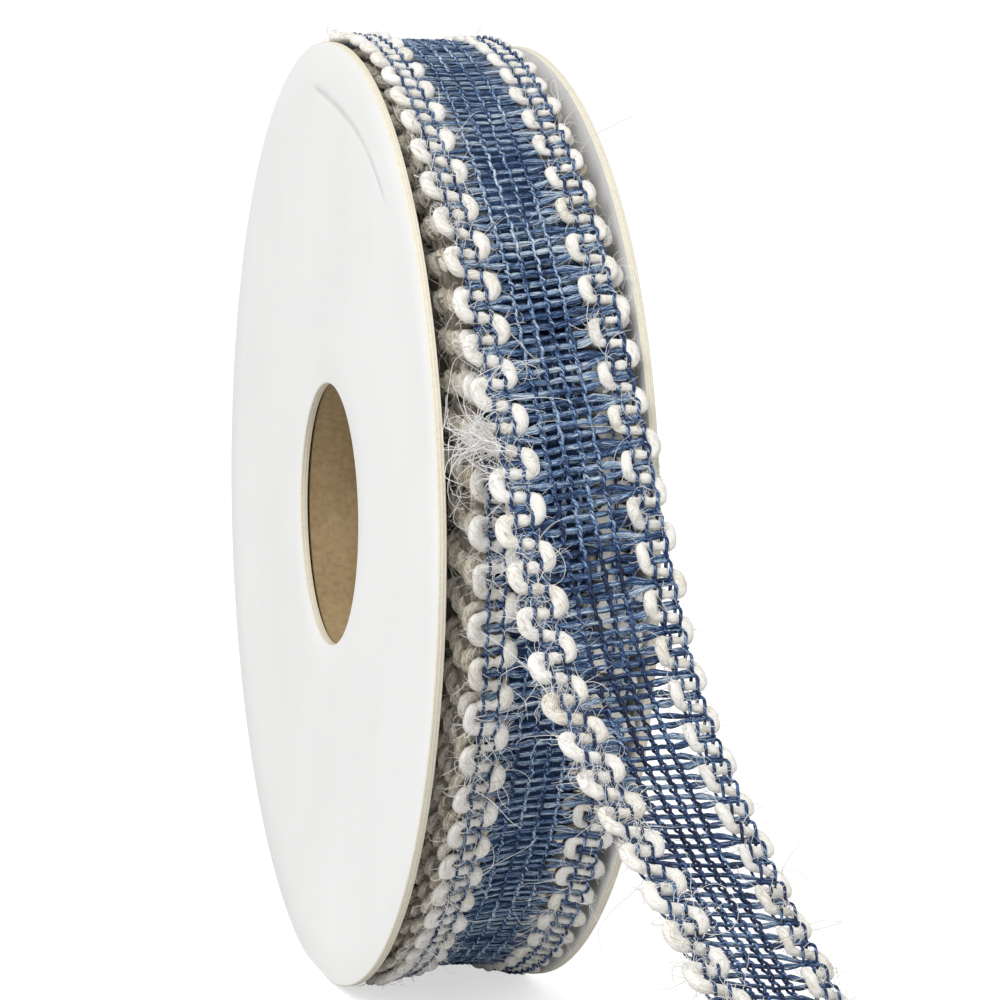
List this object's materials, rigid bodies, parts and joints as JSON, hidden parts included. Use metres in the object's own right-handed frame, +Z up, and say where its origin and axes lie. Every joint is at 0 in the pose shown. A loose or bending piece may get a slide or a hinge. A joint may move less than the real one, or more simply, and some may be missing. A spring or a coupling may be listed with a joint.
{
  "type": "hemp ribbon on a reel",
  "caption": "Open gauze ribbon with a soft yarn snaking along each edge, wound on a thin card reel, its free end drawn forward and resting on the surface.",
  "frame": {"origin": "under the middle of the whole part, on the surface that it stands on", "axes": "+X along the axle to the right of the free end, -Y forward where the free end lies, +Z up"},
  "size_m": [0.0308, 0.203, 0.1006],
  "materials": {
    "reel_paper": "smooth matt white paper facing on thin card",
    "reel_card": "plain brown card",
    "ribbon_weave": "blue bast fibre with a soft sheen",
    "edge_yarn": "soft ivory yarn, matt and hairy"
  },
  "bodies": {
    "root": {"flange_left": "reel_paper", "flange_right": "reel_paper", "core_tube": "reel_card", "ribbon_roll": "ribbon_weave", "ribbon_tail": "ribbon_weave"}
  },
  "joints": []
}
